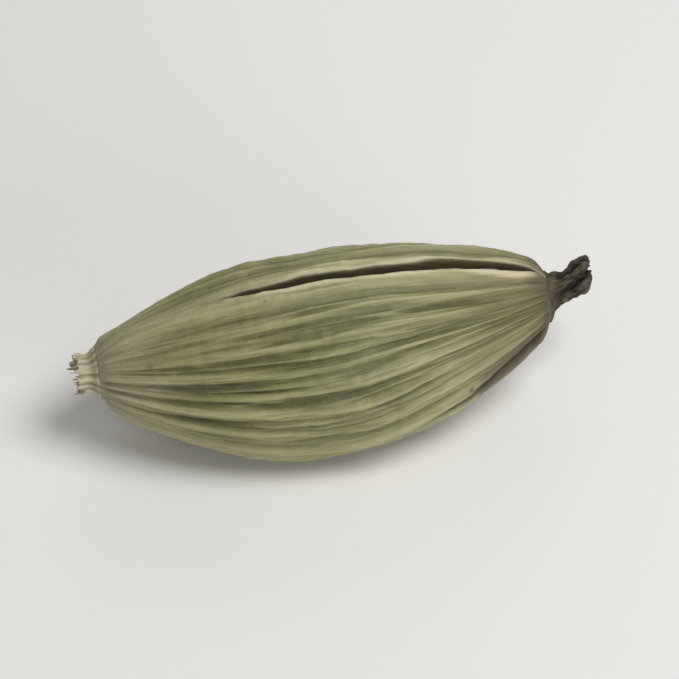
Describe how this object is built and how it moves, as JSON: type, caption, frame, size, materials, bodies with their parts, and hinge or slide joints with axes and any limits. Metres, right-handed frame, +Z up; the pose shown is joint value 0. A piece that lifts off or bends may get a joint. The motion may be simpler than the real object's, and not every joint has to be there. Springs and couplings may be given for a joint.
{
  "type": "green cardamom pod",
  "caption": "Dried green cardamom pod: a ribbed spindle of a husk, bluntly triangular across, with seams along its corners, a broken stalk at one end and a dark withered flower at the other.",
  "frame": {"origin": "on the surface that the pod lies on, under the middle of its length and width", "axes": "+X along the pod from the stalk to the flower, +Z up from the surface, so that one seam runs along the top"},
  "size_m": [0.0194, 0.0075, 0.0072],
  "materials": {
    "husk_skin": "dry olive-green plant skin, satin on the ribs and dull between them",
    "stalk_fibre": "pale, dull, stringy plant fibre",
    "dry_flower": "dark brown, dull, crumpled like thin paper"
  },
  "bodies": {
    "root": {"husk": "husk_skin", "stalk_stub": "stalk_fibre", "flower_beak": "dry_flower"}
  },
  "joints": []
}
